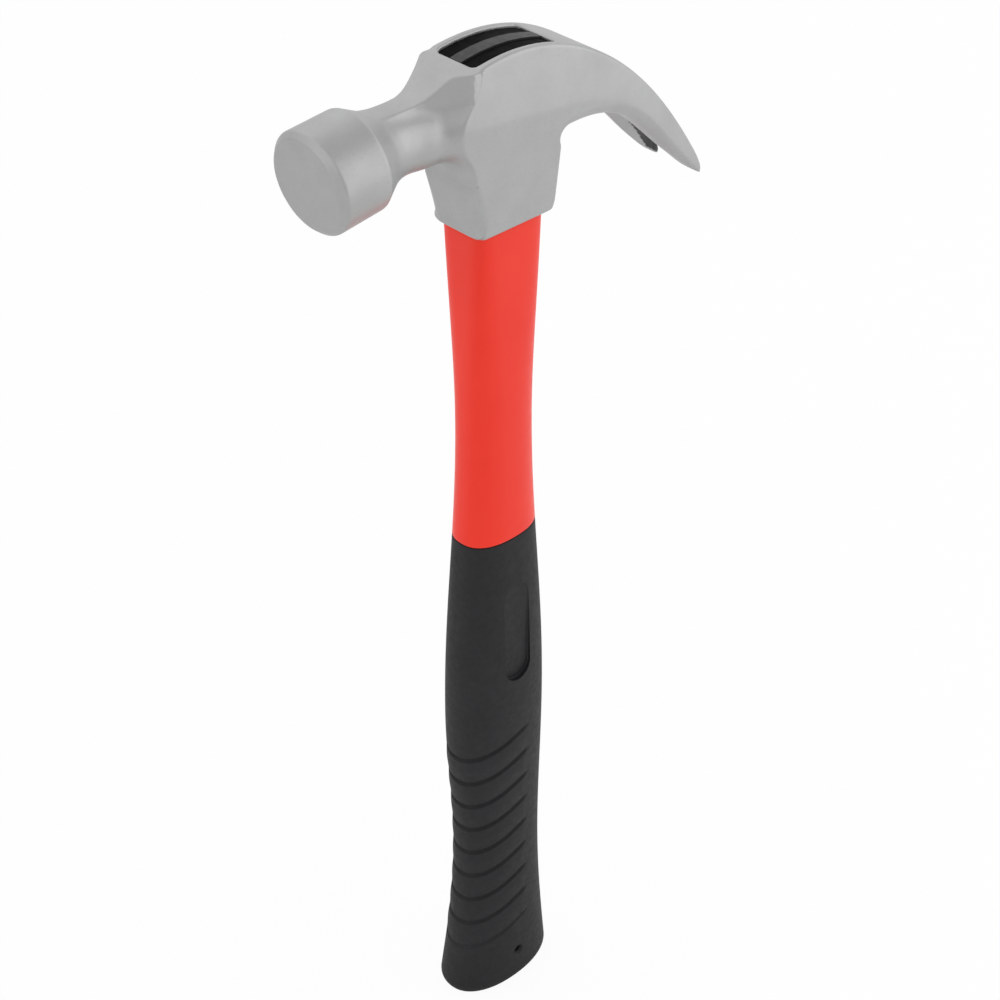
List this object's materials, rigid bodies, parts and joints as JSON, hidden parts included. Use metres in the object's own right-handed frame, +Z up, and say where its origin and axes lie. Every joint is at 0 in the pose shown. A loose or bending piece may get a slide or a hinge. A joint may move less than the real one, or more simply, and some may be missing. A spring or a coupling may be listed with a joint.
{
  "type": "claw hammer",
  "caption": "Curved-claw hammer with a forged steel head, bonded fibreglass core, moulded jacket and grooved rubber grip.",
  "frame": {"origin": "centre of the flat end of the butt, on the handle's axis", "axes": "+Z up the handle to the head, +X towards the claws, the striking face looks along -X and 5.8 degrees down, and the mirror plane is Y = 0"},
  "size_m": [0.1339, 0.0274, 0.3298],
  "materials": {
    "forged_steel": "satin, finely blasted",
    "fibreglass": "smooth pultruded",
    "jacket_plastic": "semi-gloss moulded",
    "grip_rubber": "matte, fine moulded grain",
    "resin": "cast, slightly uneven",
    "wedge_plastic": "matte moulded"
  },
  "bodies": {
    "root": {"head": "forged_steel", "core": "fibreglass", "jacket": "jacket_plastic", "grip": "grip_rubber", "eye_resin": "resin", "wedge": "wedge_plastic"}
  },
  "joints": []
}
